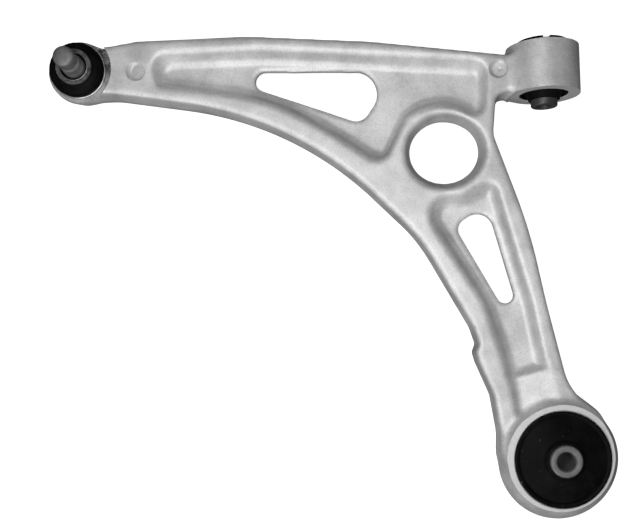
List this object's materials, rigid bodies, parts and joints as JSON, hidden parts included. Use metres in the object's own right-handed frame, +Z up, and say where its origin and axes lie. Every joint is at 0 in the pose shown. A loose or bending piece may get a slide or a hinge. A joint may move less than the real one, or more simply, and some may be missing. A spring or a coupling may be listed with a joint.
{
  "type": "front lower control arm",
  "caption": "Forged L-shaped lower suspension arm with an upright ball stud, a front bush on a lengthwise axis and a rear bush on an upright axis.",
  "frame": {"origin": "centre of the front bush, on the arm's pivot axis", "axes": "+X inboard, +Y forward along the line through both bush centres, +Z up, the way the ball stud stands"},
  "size_m": [0.4247, 0.3796, 0.081],
  "materials": {
    "forged_aluminium": "matte shot-blasted forging skin, bright where machined",
    "black_rubber": "satin black moulded rubber",
    "stud_steel": "dull grey phosphated steel",
    "bright_steel": "bright plated spring steel",
    "sleeve_steel": "dark oiled turned steel",
    "coated_steel": "thin black primer",
    "race_plastic": "natural acetal",
    "channel_plastic": "black glass-filled nylon"
  },
  "bodies": {
    "arm": {"arm_forging": "forged_aluminium", "front_bush_shell": "coated_steel", "front_bush_rubber": "black_rubber", "rear_bush_shell": "coated_steel", "rear_bush_cage": "coated_steel", "fluid_channel_inboard": "channel_plastic", "fluid_channel_outboard": "channel_plastic", "rear_bush_rubber": "black_rubber", "ball_race": "race_plastic", "closing_cap": "coated_steel", "boot_clamp_ring": "bright_steel"},
    "front_sleeve": {"front_bush_sleeve": "sleeve_steel"},
    "rear_sleeve": {"rear_bush_sleeve": "sleeve_steel", "rear_bush_stop": "channel_plastic"},
    "boot_middle": {"dust_boot": "black_rubber"},
    "boot_collar": {"boot_upper_ring": "bright_steel"},
    "stud": {"ball_stud": "stud_steel"}
  },
  "joints": [
    {"name": "rear_bush_tilt", "type": "hinge", "parent": "arm", "child": "rear_sleeve", "pos_m": [0, -0.2967, 0], "axis": [0, 1, 0], "range_deg": [-15, 15], "stiffness_Nm_per_rad": 200, "deforming": ["rear_bush_rubber"]},
    {"name": "front_bush_twist", "type": "hinge", "parent": "arm", "child": "front_sleeve", "pos_m": [0, 0, 0], "axis": [0, 1, 0], "range_deg": [-15, 15]},
    {"name": "stud_swing_fore_aft", "type": "hinge", "parent": "arm", "child": "boot_middle", "pos_m": [-0.3553, 0.0119, -0.001], "axis": [1, 0, 0], "range_deg": [-20, 20], "deforming": ["dust_boot"]},
    {"name": "stud_swing_side", "type": "hinge", "parent": "boot_middle", "child": "boot_collar", "pos_m": [-0.3553, 0.0119, -0.001], "axis": [0, 1, 0], "range_deg": [-20, 20]},
    {"name": "stud_steer", "type": "hinge", "parent": "boot_collar", "child": "stud", "pos_m": [-0.3553, 0.0119, -0.001], "axis": [0, 0, 1], "continuous": true}
  ],
  "couplings": [
    {"joint": "front_bush_twist", "follows": "rear_bush_tilt", "ratio": 1}
  ]
}
